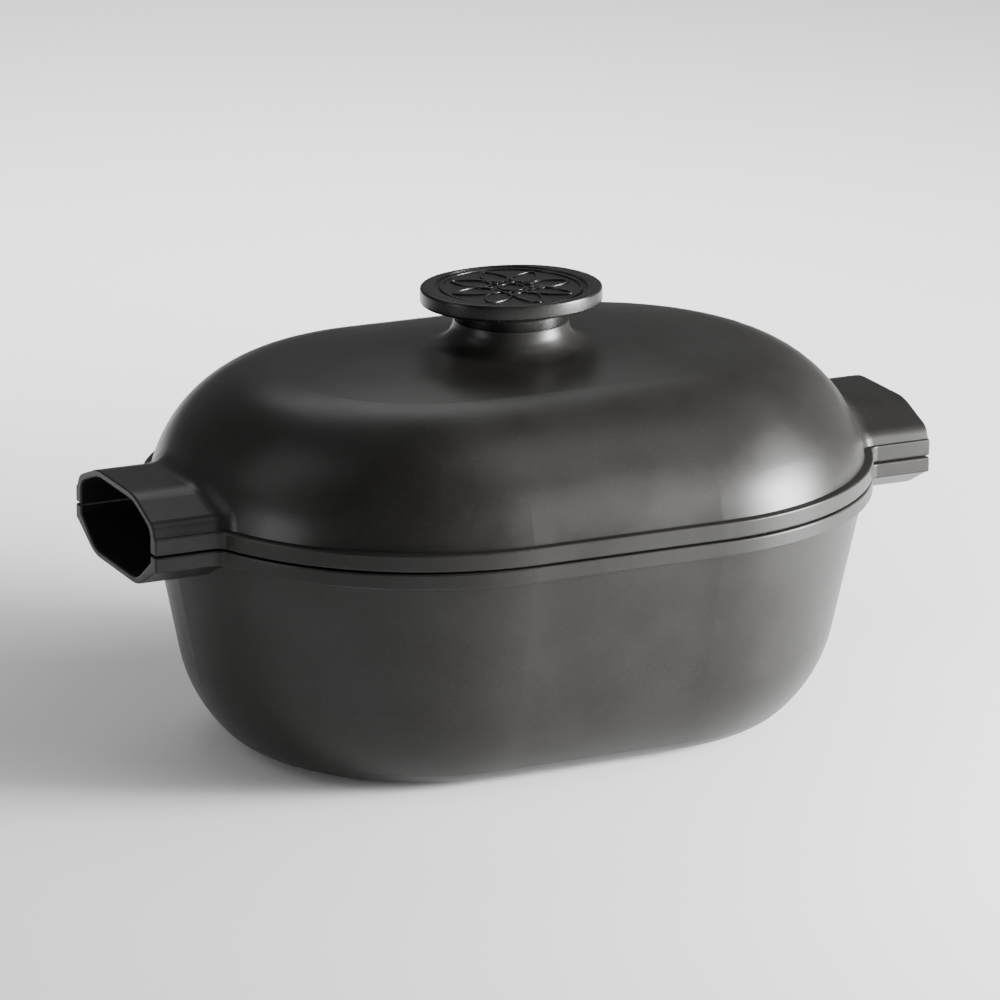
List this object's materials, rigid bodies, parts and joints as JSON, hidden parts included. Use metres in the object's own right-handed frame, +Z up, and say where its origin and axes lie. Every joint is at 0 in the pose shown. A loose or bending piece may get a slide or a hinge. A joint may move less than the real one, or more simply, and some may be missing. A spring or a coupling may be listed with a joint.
{
  "type": "covered casserole dish",
  "caption": "Stadium-shaped covered casserole with a domed lift-off lid, hollow end handles split between pot and lid, and an oval knob.",
  "frame": {"origin": "on the table, under the middle of the foot ring", "axes": "+X along the two handles, +Y across the dish, +Z up through the knob"},
  "size_m": [0.34, 0.22, 0.1805],
  "materials": {
    "body_glaze": "satin charcoal glaze with fine pale speckle",
    "knob_glaze": "near-black glaze, a little glossier than the body",
    "insert_brass": "machined",
    "fixing_steel": "turned stainless steel",
    "gasket_rubber": "matte heat-resistant silicone"
  },
  "bodies": {
    "pot": {"pot": "body_glaze"},
    "lid": {"lid": "body_glaze", "knob": "knob_glaze", "knob_insert": "insert_brass", "knob_screw": "fixing_steel", "screw_washer": "fixing_steel", "knob_gasket": "gasket_rubber"}
  },
  "joints": [
    {"name": "lid_lift", "type": "slide", "parent": "pot", "child": "lid", "axis": [0, 0, 1], "range_m": [0, 0.15]}
  ]
}
